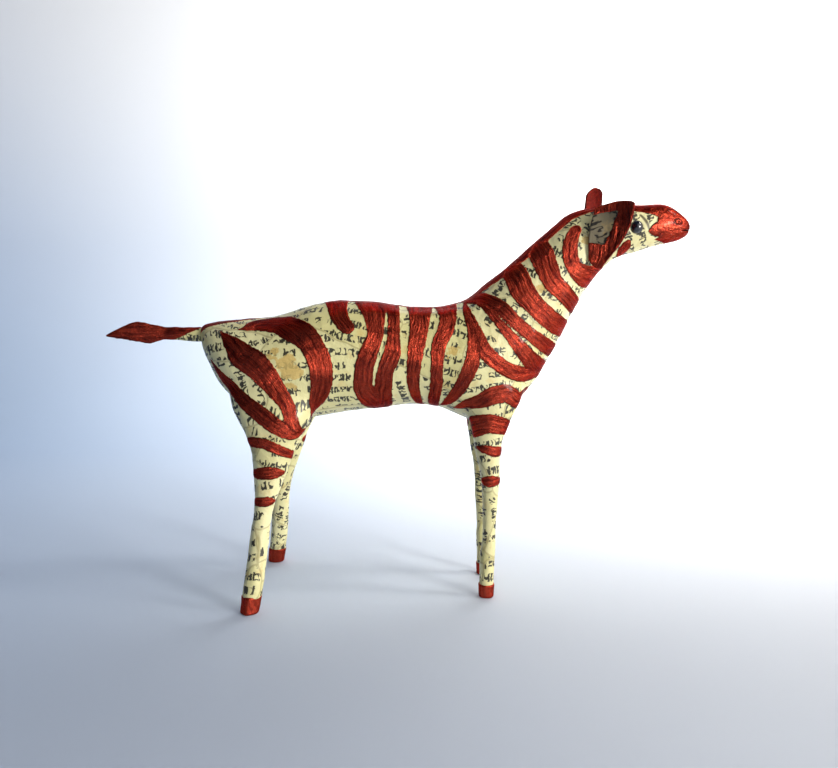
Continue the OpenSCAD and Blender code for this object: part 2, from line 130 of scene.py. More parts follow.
def printed_marks(t, uv, cells, straight):
    """Rows of made-up type that spells nothing, in a direction of its own for each scrap.

    Each place in a row holds a short piece of a random curve and often one upright stem, and some
    places stay empty as word spaces. The rows run along u in the given share of the scraps and nearly
    across it in the others. The result is 0 on paper and 1 on ink."""
    rgb = put(t, "ShaderNodeSeparateColor", [cells], out=None)
    lean = put(t, M, [rgb.outputs[0], 0.5], operation="SUBTRACT")
    lean = put(t, M, [lean, 0.6], operation="MULTIPLY")
    turned = put(t, M, [rgb.outputs[1], straight], operation="GREATER_THAN")
    angle = put(t, M, [turned, 1.45, lean], operation="MULTIPLY_ADD")
    shift = put(t, V, [cells, None, None, 90.0], operation="SCALE")
    flat = put(t, "ShaderNodeVectorRotate", {"Vector": uv, "Angle": angle}, rotation_type="Z_AXIS")
    xyz = put(t, "ShaderNodeSeparateXYZ", [put(t, V, [flat, shift], operation="ADD")], out=None)
    rows = put(t, M, [xyz.outputs[1], ROW], operation="DIVIDE")
    row = put(t, M, [rows], operation="FLOOR")
    y = put(t, M, [put(t, M, [rows], operation="FRACT"), 0.5], operation="SUBTRACT")
    y = put(t, M, [y, ROW], operation="MULTIPLY")
    start = put(t, "ShaderNodeTexWhiteNoise", {"W": row}, noise_dimensions="1D")
    columns = put(t, M, [xyz.outputs[0], 1 / SET, start], operation="MULTIPLY_ADD")
    column = put(t, M, [columns], operation="FLOOR")
    x = put(t, M, [put(t, M, [columns], operation="FRACT"), 0.5], operation="SUBTRACT")
    x = put(t, M, [x, SET], operation="MULTIPLY")
    bend = put(t, "ShaderNodeTexNoise", [flat, None, 0.9, 1.0], out="Color")
    bend = put(t, "ShaderNodeSeparateColor", [bend], out=None)
    bent = put(t, M, [bend.outputs[0], 0.5], operation="SUBTRACT")
    x = put(t, M, [x, bent], operation="ADD")
    bent = put(t, M, [put(t, M, [bend.outputs[1], 0.5], operation="SUBTRACT"), 0.8], operation="MULTIPLY")
    y = put(t, M, [y, bent], operation="ADD")
    cell = put(t, "ShaderNodeCombineXYZ", [column, row, rgb.outputs[2]])
    chance = put(t, "ShaderNodeTexWhiteNoise", [cell], out="Color")
    dice = put(t, "ShaderNodeSeparateColor", [chance], out=None)
    # a piece of curve, the height of small type
    here = put(t, "ShaderNodeCombineXYZ", [x, put(t, M, [y, 0.75], operation="MULTIPLY"), 0.0])
    here = put(t, V, [here, put(t, V, [chance, None, None, 60.0], operation="SCALE")], operation="ADD")
    curve = put(t, "ShaderNodeTexNoise", [here, None, 0.78, 0.0])
    curve = put(t, M, [put(t, M, [curve, 0.5], operation="SUBTRACT")], operation="ABSOLUTE")
    curve = put(t, M, [curve, 2.5], operation="MULTIPLY")
    beside = put(t, M, [put(t, M, [x], operation="ABSOLUTE"), 0.62], operation="SUBTRACT")
    above = put(t, M, [put(t, M, [y], operation="ABSOLUTE"), 0.78], operation="SUBTRACT")
    curve = put(t, M, [curve, put(t, M, [beside, above], operation="MAXIMUM")], operation="MAXIMUM")
    # an upright stem at one side of it, some of them taller or hanging lower
    side = put(t, M, [dice.outputs[2], 0.5], operation="GREATER_THAN")
    side = put(t, M, [side, 0.5], operation="SUBTRACT")
    stem = put(t, M, [x, side], operation="SUBTRACT")
    stem = put(t, M, [stem], operation="ABSOLUTE")
    raised = put(t, M, [dice.outputs[1], 0.5], operation="SUBTRACT")
    raised = put(t, M, [raised, 1.1], operation="MULTIPLY")
    end = put(t, M, [put(t, M, [y, raised], operation="SUBTRACT")], operation="ABSOLUTE")
    end = put(t, M, [end, 0.98], operation="SUBTRACT")
    stem = put(t, M, [stem, end], operation="MAXIMUM")
    stem = put(t, M, [stem, put(t, M, [dice.outputs[0], 0.4], operation="LESS_THAN")], operation="ADD")
    gap = put(t, M, [dice.outputs[0], 0.84], operation="GREATER_THAN")
    mark = put(t, M, [put(t, M, [curve, stem], operation="MINIMUM"), gap], operation="ADD")
    return put(t, "ShaderNodeMapRange", [mark, STROKE + SOFT_INK, STROKE - SOFT_INK, 0.0, 1.0])


def papered(name, scrap_size, straight, seed, pale="#e2dca8", deep="#cfc88a"):
    """Pasted book paper with metallic acrylic strokes over it, all under gloss varnish.

    The paper is cream with brown-black print, goes golden where the paste shows through, and each
    scrap has its own tint and edge. The paint reads as copper red: metal flake in a clear binder,
    with ridges left by the brush along each stroke."""
    material, t = new_material(name)
    uv = put(t, "ShaderNodeUVMap", uv_map="paper_mm")
    mm = place_in_mm(t)
    cells, edge = scraps(t, mm, scrap_size, seed)
    ink = printed_marks(t, uv, cells, straight)
    tint = put(t, "ShaderNodeSeparateColor", [cells])
    paper = put(t, "ShaderNodeMix", {"Factor": tint, 6: linear(pale), 7: linear(deep)},
                data_type="RGBA", out=2)
    cloud = put(t, "ShaderNodeTexNoise", [mm, None, 0.13, 6.0, 0.65])
    paste = put(t, "ShaderNodeMapRange", [cloud, 0.55, 0.72, 0.0, 0.6])
    spot = put(t, "ShaderNodeAttribute", attribute_name="paste", out="Fac")
    torn = put(t, "ShaderNodeTexNoise", [mm, None, 0.33, 5.0, 0.6])
    torn = put(t, M, [put(t, M, [torn, 0.5], operation="SUBTRACT"), 9.0], operation="MULTIPLY")
    torn = put(t, M, [spot, torn], operation="ADD")
    spot = put(t, "ShaderNodeMapRange", [torn, 0.0, 0.35, 0.0, 0.75])
    paste = put(t, M, [paste, spot], operation="MAXIMUM")
    paper = put(t, "ShaderNodeMix", {"Factor": paste, 6: paper, 7: linear("#c9a552")},
                data_type="RGBA", out=2)
    rim = put(t, "ShaderNodeMapRange", [edge, 0.35, 0.05, 0.0, 0.45])
    paper = put(t, "ShaderNodeMix", {"Factor": rim, 6: paper, 7: linear("#7d6838")},
                data_type="RGBA", out=2)
    clear = put(t, "ShaderNodeMapRange", [edge, 0.2, 0.4, 0.0, 0.96])
    ink = put(t, M, [ink, clear], operation="MULTIPLY")
    ink = put(t, M, [ink, put(t, M, [1.0, spot], operation="SUBTRACT")], operation="MULTIPLY")
    paper = put(t, "ShaderNodeMix", {"Factor": ink, 6: paper, 7: linear("#15120f")},
                data_type="RGBA", out=2)
    old = put(t, "ShaderNodeAttribute", attribute_name="varnish", out="Fac")
    old = put(t, "ShaderNodeMapRange", [old, -0.15, 0.2, 0.0, 0.9])
    paper = put(t, "ShaderNodeMix", {"Factor": old, 6: paper, 7: linear("#3d3312")},
                data_type="RGBA", out=2)
    # strokes: how far inside the paint, in mm, and the way the brush went
    inside = put(t, "ShaderNodeAttribute", attribute_name="paint", out="Fac")
    ragged = put(t, "ShaderNodeTexNoise", [mm, None, 0.9, 3.0])
    ragged = put(t, M, [put(t, M, [ragged, 0.5], operation="SUBTRACT"), 0.7], operation="MULTIPLY")
    inside = put(t, M, [inside, ragged], operation="ADD")
    mask = put(t, "ShaderNodeMapRange", [inside, -0.07, 0.07, 0.0, 1.0])
    brush = put(t, "ShaderNodeAttribute", attribute_name="brush", out="Vector")
    sway = put(t, "ShaderNodeTexNoise", [mm, None, 0.25, 2.0], out="Color")
    sway = put(t, V, [sway, (1.6, 0.0, 0.0)], operation="MULTIPLY")
    drawn = put(t, V, [put(t, V, [brush, sway], operation="ADD"), (1.5, 0.13, 1.0)], operation="MULTIPLY")
    ridges = put(t, "ShaderNodeTexNoise", [drawn, None, 1.0, 4.0, 0.62])
    flake = put(t, "ShaderNodeTexNoise", [mm, None, 2.2, 2.0])
    # the paint is painted lighter on the brush ridges, as painted highlight, and darker between them, as
    # painted shade
    ridge_highlight_and_shade = put(t, "ShaderNodeMapRange", [ridges, 0.3, 0.7, 0.0, 1.0])
    paint = put(t, "ShaderNodeMix", {"Factor": ridge_highlight_and_shade, 6: linear("#500f0e"), 7: linear("#bf4832")},
                data_type="RGBA", out=2)
    groove = put(t, "ShaderNodeAttribute", attribute_name="groove", out="Fac")
    paint = put(t, "ShaderNodeMix", {"Factor": groove, 6: paint, 7: linear("#2a0b0a")},
                data_type="RGBA", out=2)
    colour = put(t, "ShaderNodeMix", {"Factor": mask, 6: paper, 7: paint}, data_type="RGBA", out=2)
    edge_tint = put(t, "ShaderNodeMix", {"Factor": mask, 6: linear("#ffffff"), 7: linear("#8c3d3a")},
                    data_type="RGBA", out=2)
    gloss = put(t, "ShaderNodeMapRange", [flake, 0.3, 0.7, 0.24, 0.4])
    rough = put(t, "ShaderNodeMix", {"Factor": mask, 2: 0.42, 3: gloss}, data_type="FLOAT")
    # relief in mm: paint film and its ridges, scrap edges, and small wrinkles
    film = put(t, "ShaderNodeMapRange", [inside, -0.1, 0.35, 0.0, 0.16],
               interpolation_type="SMOOTHSTEP")
    ridge = put(t, M, [put(t, M, [ridges, mask], operation="MULTIPLY"), 0.8], operation="MULTIPLY")
    wrinkle = put(t, "ShaderNodeTexNoise", [mm, None, 0.4, 5.0, 0.58])
    wrinkle = put(t, M, [wrinkle, 0.42], operation="MULTIPLY")
    step = put(t, M, [tint, 0.16], operation="MULTIPLY")
    height = put(t, M, [film, ridge], operation="ADD")
    height = put(t, M, [height, wrinkle], operation="ADD")
    height = put(t, M, [height, step], operation="ADD")
    relief = put(t, "ShaderNodeBump", {"Strength": 1.0, "Distance": MM, "Height": height})
    finish_material(t, Base_Color=colour, Metallic=mask, Roughness=rough, Normal=relief,
                    Specular_Tint=edge_tint, Coat_Weight=0.1, Coat_Roughness=0.1)
    return material


# The default colours are the ears' paint, darker than the strokes on the body as painted shade
def painted(name, dark="#3c0d0d", light="#83291f", along=(1.0, 1.0, 0.2)):
    """Metallic acrylic over paper: copper-red flake, with brush ridges along the piece's long way."""
    material, t = new_material(name)
    mm = place_in_mm(t)
    drawn = put(t, V, [mm, along], operation="MULTIPLY")
    ridges = put(t, "ShaderNodeTexNoise", [drawn, None, 1.3, 4.0, 0.6])
    # painted highlight on the ridge tops and painted shade between them: the colour goes from dark to light
    # with the ridges
    colour = put(t, "ShaderNodeMix", {"Factor": ridges, 6: linear(dark), 7: linear(light)},
                 data_type="RGBA", out=2)
    gloss = put(t, "ShaderNodeMapRange", [ridges, 0.3, 0.7, 0.26, 0.42])
    height = put(t, M, [ridges, 0.4], operation="MULTIPLY")
    relief = put(t, "ShaderNodeBump", {"Strength": 1.0, "Distance": MM, "Height": height})
    finish_material(t, Base_Color=colour, Metallic=1.0, Roughness=gloss, Normal=relief,
                    Specular_Tint=linear("#8c3d3a"), Coat_Weight=0.1, Coat_Roughness=0.1)
    return material


def bead_black():
    """Pressed glass bead: black, wet-looking."""
    material, t = new_material("black_glass_bead")
    mm = place_in_mm(t)
    cloud = put(t, "ShaderNodeTexNoise", [mm, None, 0.8, 2.0])
    colour = put(t, "ShaderNodeMix", {"Factor": cloud, 6: linear("#05060b"), 7: linear("#10131d")},
                 data_type="RGBA", out=2)
    finish_material(t, Base_Color=colour, Roughness=0.06, IOR=1.5, Coat_Weight=1.0, Coat_Roughness=0.02)
    return material


def plain(name, dark, light, scale, rough, metallic=0.0):
    """A hidden piece: two close shades in a noise of the given size in mm, with a little relief."""
    material, t = new_material(name)
    mm = place_in_mm(t)
    grain = put(t, "ShaderNodeTexNoise", [mm, None, 1 / scale, 5.0, 0.6])
    colour = put(t, "ShaderNodeMix", {"Factor": grain, 6: linear(dark), 7: linear(light)},
                 data_type="RGBA", out=2)
    relief = put(t, "ShaderNodeBump", {"Strength": 0.6, "Distance": 0.3 * MM, "Height": grain})
    finish_material(t, Base_Color=colour, Metallic=metallic, Roughness=rough, Normal=relief)
    return material


trunk_paper = papered("book_paper_and_red_strokes", scrap_size=26.0, straight=0.58, seed=3.0)
leg_paper = papered("narrow_paper_scraps_and_red_strokes", scrap_size=13.0, straight=0.8, seed=8.0)
# The ears' lining paper is darker than the paper on the body: painted shade, for the hollow of the ears,
# which lies in shadow
ear_paper_painted_shade = papered("paper_lining_painted_shade_and_red_edge", scrap_size=30.0, straight=0.2, seed=5.0,
                    pale="#80765e", deep="#665d48")
# The ears' paint: darker than the strokes on the body, as painted shade
ear_red_painted_shade = painted("red_acrylic_painted_shade_with_flake", along=(0.25, 1.0, 1.0))
hoof_red = painted("red_acrylic_on_hooves", "#6d1a16", "#c84c34", along=(1.0, 1.0, 0.4))
bead = bead_black()
HIDDEN = {
    "steel_wire": plain("galvanised_wire", "#77797c", "#9a9da0", scale=0.4, rough=0.35, metallic=1.0),
    "paper_tape": plain("masking_tape", "#b7a67c", "#cdbf98", scale=0.8, rough=0.8),
    "core_paper": plain("crumpled_newspaper", "#8f8b82", "#c9c5ba", scale=3.0, rough=0.9),
}

# ---------------------------------------------------------------- the lines that the body follows

# Middle line of the trunk, neck and head: x, z in mm. Lengths along it count from x = 0.
SPINE = np.array([(-60, 78.5), (-52, 73), (-44, 70.2), (-30, 69.6), (-15, 71.6), (0, 72.2), (14, 71.6),
                  (24, 71.8), (32, 75.6), (40, 84), (48, 94.4), (56, 103.4), (63, 108), (72, 110),
                  (84, 110)])
SPINE_ZERO = 5   # the point of it that is at x = 0
# Middle line of a right leg: x, y, z in mm, from the hoof up
LEGS = {
    "rear": np.array([(-41.4, -22, 0), (-39.9, -20.2, 9.1), (-38, -16.8, 25.8), (-35.5, -13.7, 41.3),
                      (-34.7, -11.7, 51.3), (-35.2, -8.8, 62)]),
    "front": np.array([(27.5, -9.5, 0), (27.8, -9.1, 11.1), (28.5, -8.5, 25), (28.2, -7.9, 40),
                       (28.2, -7.5, 51.9), (29, -7.2, 62)]),
}


def along_line(points, line):
    """For each point: distance along the line, and the vector from the line to the point."""
    start, step = line[:-1], line[1:] - line[:-1]
    length = np.linalg.norm(step, axis=1)
    before = np.concatenate([[0], np.cumsum(length)[:-1]])
    best = np.full(len(points), 1e9)
    far = np.zeros(len(points))
    out = np.zeros((len(points), line.shape[1]))
    for a, d, n, b in zip(start, step, length, before):
        share = np.clip((points - a) @ d / n ** 2, 0, 1)
        off = points - a - share[:, None] * d
        size = np.linalg.norm(off, axis=1)
        nearer = size < best
        best = np.where(nearer, size, best)
        far = np.where(nearer, b + share * n, far)
        out[nearer] = off[nearer]
    return far, out


def spine_at(s):
    """Point on the middle line and its direction, in the x z plane, at a distance from x = 0."""
    length = np.linalg.norm(SPINE[1:] - SPINE[:-1], axis=1)
    before = np.concatenate([[0], np.cumsum(length)])
    before = before - before[SPINE_ZERO]
    behind, here, ahead = (np.array([np.interp(s + step, before, values) for values in SPINE.T])
                           for step in (-3, 0, 3))
    tangent = (ahead - behind) / np.linalg.norm(ahead - behind)
    return Vector((here[0], 0, here[1])), Vector((tangent[0], 0, tangent[1]))


# ---------------------------------------------------------------- the papered skin


SIDES = ("right", "left")
TRUNK = ["torso_skin", "neck_skin", "head_skin"]
LEG_NODES = ["leg_%s_%s" % (end, side) for end in LEGS for side in SIDES]
LEG_TOP = Vector((0, 0, 50))     # mm, where the paper of the legs meets that of the trunk
UP = Vector((0, 0, 1))
WITHERS, NECK_WAY = spine_at(31)   # where the neck starts
POLL, HEAD_WAY = spine_at(73)      # where the head starts
# In mm
HOLE_WALL = 0.4    # faces nearer than this to a wire are the wall of its hole
EASE = 0.1         # how far the skin is let out before it is smoothed
INTO_HOOF = 1.2    # how far a leg goes down into its hoof
VOXEL = 0.6        # size of the cells that join trunk and legs
FACE_FROM = 68     # x from which the mesh is finer, for the face
LIPS_FROM = 79     # x from which it is finer again, for the lips


def merged_copy(name):
    mesh = bmesh.new()
    mesh.from_mesh(nodes[name].data)
    bmesh.ops.remove_doubles(mesh, verts=mesh.verts, dist=1e-7)
    return mesh


def bvh_of(names):
    whole = bmesh.new()
    for name in names:
        whole.from_mesh(nodes[name].data)
    tree = BVHTree.FromBMesh(whole)
    whole.free()
    return tree


wires = bvh_of([name.replace("leg", "leg_wire") for name in LEG_NODES])


def outer_shell(name):
    """A copy of a skin node without its inner wall and wire holes, closed."""
    mesh = merged_copy(name)
    centres = np.array([f.calc_center_median() for f in mesh.faces]) / MM
    normals = np.array([f.normal for f in mesh.faces])
    if name in TRUNK:
        off = along_line(centres[:, [0, 2]], SPINE)[1]
        ahead = np.stack([off[:, 0], centres[:, 1], off[:, 1]], axis=1)
        inner = (ahead * normals).sum(axis=1) < 0
    else:
        inner = np.zeros(len(centres), bool)
    doomed = [f for f, is_in in zip(mesh.faces, inner)
              if is_in or wires.find_nearest(f.calc_center_median())[3] < HOLE_WALL * MM]
    bmesh.ops.delete(mesh, geom=doomed, context="FACES")
    bmesh.ops.holes_fill(mesh, edges=[e for e in mesh.edges if e.is_boundary], sides=0)
    bmesh.ops.triangulate(mesh, faces=[f for f in mesh.faces if len(f.verts) > 4])
    bmesh.ops.recalc_face_normals(mesh, faces=mesh.faces)
    foot = min(v.co.z for v in mesh.verts)
    for v in mesh.verts:
        v.co += v.normal * EASE * MM
        if name in LEG_NODES and v.co.z < foot + 0.3 * MM:
            v.co.z -= INTO_HOOF * MM
    return mesh


def object_from(name, mesh):
    data = bpy.data.meshes.new(name)
    mesh.to_mesh(data)
    mesh.free()
    piece = bpy.data.objects.new(name, data)
    bpy.context.scene.collection.objects.link(piece)
    return piece


def remeshed(name, mesh, voxel):
    """The shape as one even closed surface, as a bmesh."""
    rough = object_from(name, mesh)
    tool = rough.modifiers.new("even", "REMESH")
    tool.mode = "VOXEL"
    tool.voxel_size = voxel * MM
    done = rough.evaluated_get(bpy.context.evaluated_depsgraph_get()).to_mesh()
    even = bmesh.new()
    even.from_mesh(done)
    bpy.data.objects.remove(rough)
    return even


def soften(mesh, rounds, chosen=None):
    verts = [v for v in mesh.verts if chosen is None or chosen(v.co / MM)]
    for _ in range(rounds):
        bmesh.ops.smooth_vert(mesh, verts=verts, factor=0.5, use_axis_x=True, use_axis_y=True,
                              use_axis_z=True)


def on_haunch(p):
    return p.x < -14 and 43 < p.z < 72


def on_shoulder(p):
    return 12 < p.x < 42 and 45 < p.z < 68


def fold(p):
    """Height in mm of the blunt edge between the flat back and each flank."""
    start, end = -16, 26
    if not start < p.x < end or p.z < 74:
        return 0
    fade = math.sin(math.pi * (p.x - start) / (end - start)) ** 0.5
    return 0.75 * fade * math.exp(-((abs(p.y) - 8.2) / 1.9) ** 2) - 0.35 * fade * math.exp(-(p.y / 5) ** 2)


def whole_skin():
    """Trunk and legs as one surface of pasted paper, with its lumps."""
    shape = bmesh.new()
    for name in TRUNK + LEG_NODES:
        shell = outer_shell(name)
        part = bpy.data.meshes.new("part")
        shell.to_mesh(part)
        shell.free()
        shape.from_mesh(part)
        bpy.data.meshes.remove(part)
    skin = remeshed("skin", shape, VOXEL)
    soften(skin, 3)
    soften(skin, 26, on_haunch)
    soften(skin, 22, on_shoulder)
    soften(skin, 2)
    skin.normal_update()
    for v in skin.verts:
        p = v.co / MM
        lump = 0.30 * noise.noise(p / 9) + 0.12 * noise.noise(p / 3.2 + Vector((9, 2, 5)))
        thin = 0.5 if p.z < 45 else 1.0
        v.co += v.normal * (lump * thin + fold(p)) * MM
    for start in (FACE_FROM, LIPS_FROM):
        front = [e for e in skin.edges if min(v.co.x for v in e.verts) > start * MM]
        bmesh.ops.subdivide_edges(skin, edges=front, cuts=1, use_grid_fill=True)
    bmesh.ops.triangulate(skin, faces=[f for f in skin.faces if len(f.verts) > 4])
    return skin


# Painted strokes on the right side: distance along the spine in mm, turn round it in degrees
# (0 is the side, 90 the back, -90 the belly), and half the width in mm
STROKES = {
    "rump_edge": [(-54, -14, 0.1), (-51.5, -23, 1), (-47.5, -33, 2.1), (-44, -34, 1.9), (-41, -37, 2.2),
                  (-36.5, -41, 2.4), (-32.5, -45, 2.3), (-30, -50, 1.8), (-27.5, -57, 0.2)],
    "haunch": [(-57, 44, 0.1), (-55, 41, 0.3), (-49, 25, 2.2), (-45, 14, 3.6), (-40, 3, 4), (-36.5, -10, 3.6),
               (-33.5, -23, 2.8), (-31, -34, 2.2), (-30, -43, 2), (-29, -51, 1.5)],
    "haunch_hook": [(-49, 49, 0.1), (-45, 56, 1.6), (-39.5, 62, 3.3), (-33.5, 55, 3.8), (-26, 39, 3.9),
                    (-22.5, 21, 3.4), (-21, 0, 3.4), (-21.5, -23, 3.1), (-24, -44, 2.2), (-27, -58, 0.2)],
    "stub": [(-17, 100, 3.2), (-15.5, 78, 3.2), (-15, 59, 2.7), (-14, 46, 2.4), (-12.8, 38, 2.1)],
    "barrel_back": [(-6.5, 100, 4.2), (-6, 74, 4.4), (-5, 50, 3), (-5, 28, 2.3), (-7, 8, 2.7),
                    (-8.5, -12, 2.7), (-9, -35, 2.9), (-6.5, -58, 3.6), (-5, -74, 3)],
    "barrel_back_fork": [(-1.5, 96, 2.6), (-0.5, 70, 2.2), (0, 49, 1.7), (0, 26, 1.9), (-0.5, 5, 2.5),
                         (-2.5, -16, 2.4), (-3.5, -39, 2.6), (-4.5, -66, 3.4)],
    "barrel_middle": [(7, 120, 3.6), (6.5, 89, 3.7), (7, 47, 2.9), (6.5, 20, 2.5), (6, -4, 2.1),
                      (6, -30, 1.8), (7.5, -62, 1.3), (9, -80, 0.6)],
    "barrel_front": [(17, 120, 2.8), (16, 84, 2.8), (15.5, 44, 2.4), (13, 20, 2.2), (12.5, -3, 1.9),
                     (12.5, -28, 1.8), (12, -60, 1.7), (12.5, -84, 1)],
    "wishbone_back": [(28, 78, 0.4), (26.5, 45, 1.3), (24, 18, 1.9), (22, -6, 2.2), (20, -24, 2),
                      (16.5, -48, 1.5), (14, -66, 0.4)],
    "wishbone_front": [(28, 71, 0.4), (27, 36, 1.8), (27, 6, 2.2), (30, -23, 2.2), (33, -50, 2.3),
                       (36, -76, 1.8)],
    "shoulder": [(36, 78, 2.4), (38, 65, 2.4), (40, 40, 2.2), (40, 14, 2), (40.5, -19, 2),
                 (41.5, -58, 2.3), (42, -84, 2)],
    "shoulder_low": [(36.5, 66, 0.8), (37, 50, 1), (36.5, 28, 1.2), (36, 3, 1.7), (35.5, -29, 2.4),
                     (35.5, -66, 3), (36, -86, 2.6)],
    "neck_low": [(52, 76, 3.2), (51, 58, 3.5), (48.5, 34, 3.5), (47.5, 8, 3), (47, -24, 3),
                 (47.5, -64, 2.8), (48, -88, 2.4)],
    "neck_high": [(61, 78, 3.4), (60, 58, 3.6), (58, 34, 3.3), (56, 9, 2.9), (55.5, -22, 2.7),
                  (55, -60, 2.6), (55, -88, 2)],
    "throat": [(70.5, 46, 1.5), (68.5, 38, 2), (66, 26, 2.2), (64, 10, 2.3), (63, -11, 2.5),
               (63.5, -37, 3.2), (65.5, -66, 3.8), (66, -88, 3.4)],
    "elbow": [(17.5, -62, 0.5), (20.5, -52, 1.4), (23, -45, 2.1), (25, -42, 2.6), (28, -48, 2.6),
              (30, -60, 2.4), (31.5, -72, 1.6)],
    "jaw": [(79.5, -68, 1.3), (80.5, -54, 1.7), (81.5, -45, 1.6), (82, -36, 1.2)],
}
# Strokes along the top line, the same for both sides
CREST = [(31, 90, 1.6), (36, 90, 3.6), (46, 90, 4.5), (56, 90, 4.9), (66, 90, 4.9), (72, 90, 4.6),
         (77, 90, 3.8), (80, 90, 2)]
BACK = [(-12, 90, 0.8), (-8, 90, 2.4), (0, 90, 2.6), (8, 90, 2.4), (16, 90, 2.2), (21, 90, 0.6)]
RUMP_TOP = [(-62, 90, 3.4), (-57, 90, 3.4), (-52, 90, 3), (-48, 90, 2.4), (-43, 90, 1.4), (-38, 90, 0.4)]
# Strokes on the right legs: turn round the leg (0 is outwards, 90 forward), height, half the width
LEG_STROKES = [
    ("rear", [(-80, 48, 0.9), (-61, 48.4, 1.5), (-25, 48.2, 1.5), (11, 47.1, 1.5), (46, 45.7, 1.4),
              (89, 44.1, 1.2)]),
    ("rear", [(-88, 39, 0.5), (-68, 39.3, 1.2), (-26, 39.7, 1.8), (8, 39.8, 1.8), (40, 39.8, 1.3),
              (73, 39.6, 0.2)]),
    ("rear", [(-80, 31.3, 0.5), (-54, 31.4, 1.1), (-5, 31.6, 1.4), (33, 31.6, 1.2), (80, 31.3, 0.2)]),
    ("front", [(-105, 50.6, 1.2), (-85, 51.2, 3), (-40, 52.6, 3.1), (-6, 53.1, 2.9), (29, 52.6, 2.7),
               (90, 51, 2.2)]),
    ("front", [(-75, 45.8, 0.1), (-38, 45.4, 1.1), (-6, 45.1, 1.4), (29, 44.6, 1.6), (83, 44.4, 1.2),
               (110, 44.4, 0.5)]),
    ("front", [(-70, 35.5, 0.5), (-55, 35.5, 1), (-21, 35.6, 1.5), (4, 35.6, 1.8), (29, 35.7, 1.5),
               (75, 35.6, 0.9)]),
]
# Where the paint of the muzzle starts: x at each height, on the side of the head
MUZZLE = [(104, 81), (105.3, 79.7), (106.3, 75.9), (107, 77.2), (107.6, 74.6), (108.5, 73.6), (110, 74.3),
          (111.3, 76.2), (112.6, 76.4), (113.6, 74.5), (114.3, 69.5), (115, 60)]
# Golden patches where the paste shows: distance along the spine, turn, radius, on the right side
PASTE = [(-34, 18, 1.9), (-31, 7, 2.6), (-28.5, -6, 2.6), (-29.5, -19, 1.6), (41, 50, 1.6), (39.5, 37, 1.2),
         (17, 10, 1.4), (52, 19, 1.3), (-44, 62, 1.2), (70.5, 20, 1.6)]
# A thin line of old varnish beside the eye, as the strokes
VARNISH_LINE = [(87, 30, 0.4), (87.8, 19, 0.45), (88.6, 6, 0.45), (88.9, -6, 0.3)]
# The parting of the lips on the right side: x, y, z and half the width, in mm
LIPS = [(83.6, -4.3, 108.4, 0.05), (84.8, -3.6, 108.9, 0.25), (86.2, -2, 109.2, 0.3), (87, 0, 109.3, 0.3)]
# A nostril: x, z in mm
NOSTRIL = (82.7, 111.4)
# In mm
BESIDE_TRUNK = 45    # from the middle line to a place outside the trunk
BESIDE_LEG = 12      # from a leg's middle line to a place between the legs
NO_PAINT = -30.0     # the depth inside a stroke, where no stroke is near
NO_COAT = -9.0       # the same for a patch of paste and a line of varnish


def catmull(rows, per_gap):
    """Rows joined by a smooth curve."""
    rows = np.array(rows, float)
    out = []
    for i in range(len(rows) - 1):
        p0, p1, p2, p3 = rows[max(i - 1, 0)], rows[i], rows[i + 1], rows[min(i + 2, len(rows) - 1)]
        for t in np.arange(per_gap) / per_gap:
            out.append((2 * p1 + (p2 - p0) * t + (2 * p0 - 5 * p1 + 4 * p2 - p3) * t * t
                        + (3 * p1 - p0 - 3 * p2 + p3) * t ** 3) / 2)
    return np.array(out + [rows[-1]])


def on_trunk(surface, s, turn, left):
    """Point in mm on the skin, from outside towards the spine."""
    middle, ahead = spine_at(s)
    up = Vector((-ahead.z, 0, ahead.x))
    side = Vector((0, 1 if left else -1, 0))
    a = math.radians(turn)
    out = (side * math.cos(a) + up * math.sin(a)).normalized()
    hit = surface.ray_cast((middle + out * BESIDE_TRUNK) * MM, -out)[0]
    return None if hit is None else hit / MM


def trunk_line(surface, rows, left=False):
    """A stroke's points on the skin with its half widths, in mm."""
    line = [(on_trunk(surface, s, turn, left), max(w, 0.05)) for s, turn, w in catmull(rows, 8)]
    return [(p, w) for p, w in line if p is not None]


def leg_line(surface, leg, rows, left):
    """The same for a stroke on a leg."""
    line = []
    axis = LEGS[leg]
    for turn, z, w in catmull(rows, 8):
        middle = Vector((np.interp(z, axis[:, 2], axis[:, 0]), np.interp(z, axis[:, 2], axis[:, 1]), z))
        a = math.radians(turn)
        out = Vector((math.sin(a), -math.cos(a), 0))
        if left:
            middle.y, out.y = -middle.y, -out.y
        hit = surface.ray_cast((middle + out * BESIDE_LEG) * MM, -out)[0]
        if hit is not None:
            line.append((hit / MM, max(w, 0.05)))
    return line


def stroke_lines(surface):
    """Every stroke on the figure. The left side has the same ones, a little different in place."""
    lines = []
    for number, rows in enumerate(STROKES.values()):
        lines.append(trunk_line(surface, rows))
        sway = 1.1 * math.sin(2.3 * number + 1)
        wider = 1 + 0.08 * math.sin(5.1 * number)
        other = [(s + sway + 0.8 * math.sin(turn / 25 + number), turn, w * wider) for s, turn, w in rows]
        lines.append(trunk_line(surface, other, True))
    for rows in (CREST, BACK, RUMP_TOP):
        lines.append(trunk_line(surface, rows))
    for number, (leg, rows) in enumerate(LEG_STROKES):
        lines.append(leg_line(surface, leg, rows, False))
        rise = 0.9 * math.sin(number * 2.1)
        other = [(turn + 12, z + rise, w) for turn, z, w in rows]
        lines.append(leg_line(surface, leg, other, True))
    return lines


